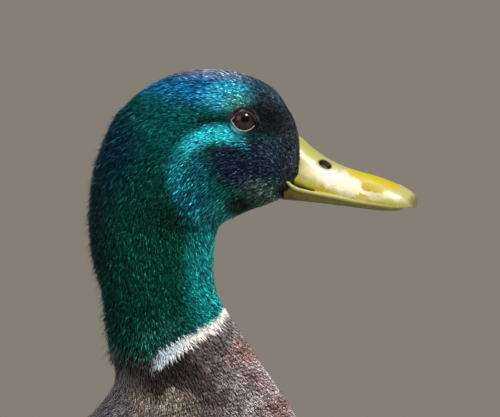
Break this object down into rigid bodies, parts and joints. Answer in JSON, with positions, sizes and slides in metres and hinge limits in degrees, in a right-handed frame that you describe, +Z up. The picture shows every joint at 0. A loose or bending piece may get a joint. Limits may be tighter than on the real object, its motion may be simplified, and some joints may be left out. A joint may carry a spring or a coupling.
{
  "type": "mallard duck",
  "caption": "Life-size standing mallard drake, a still museum model with its neck upright and wings folded.",
  "frame": {"origin": "bottom centre of the model's box, on the floor that the feet stand on", "axes": "+X the way the bill points, +Y the bird's left side, +Z up"},
  "size_m": [0.4108, 0.1374, 0.3616],
  "materials": {
    "head_feather": "iridescent green and blue head and neck feathers",
    "white_feather": "white ring of short feathers",
    "breast_feather": "dark chestnut-brown breast feathers with pale lacing",
    "grey_feather": "pale grey feathers with fine dark waves",
    "scapular_feather": "grey-brown scapular feathers",
    "wing_feather": "grey-brown wing coverts with a blue speculum edged white",
    "flight_feather": "dark brown flight feathers",
    "tail_feather": "whitish tail feathers with grey-brown middles",
    "black_feather": "black tail coverts with a faint green gloss",
    "bill": "glossy yellow-green horn",
    "bill_nail": "dark horn",
    "eye": "dark brown, wet gloss",
    "leg_scale": "orange scaled skin",
    "claw": "dark horn"
  },
  "bodies": {
    "root": {"head": "head_feather", "neck": "head_feather", "neck_ring": "white_feather", "breast": "breast_feather", "trunk": "grey_feather", "rump": "black_feather", "tail": "tail_feather", "bill_upper": "bill", "bill_lower": "bill", "bill_nail": "bill_nail", "eye_left": "eye", "wing_left": "wing_feather", "scapulars_left": "scapular_feather", "primaries_left": "flight_feather", "tail_curl_left": "black_feather", "thigh_left": "grey_feather", "shank_left": "leg_scale", "foot_left": "leg_scale", "hind_toe_left": "leg_scale", "claw_inner_left": "claw", "claw_middle_left": "claw", "claw_outer_left": "claw", "claw_hind_left": "claw", "eye_right": "eye", "wing_right": "wing_feather", "scapulars_right": "scapular_feather", "primaries_right": "flight_feather", "tail_curl_right": "black_feather", "thigh_right": "grey_feather", "shank_right": "leg_scale", "foot_right": "leg_scale", "hind_toe_right": "leg_scale", "claw_inner_right": "claw", "claw_middle_right": "claw", "claw_outer_right": "claw", "claw_hind_right": "claw"}
  },
  "joints": []
}
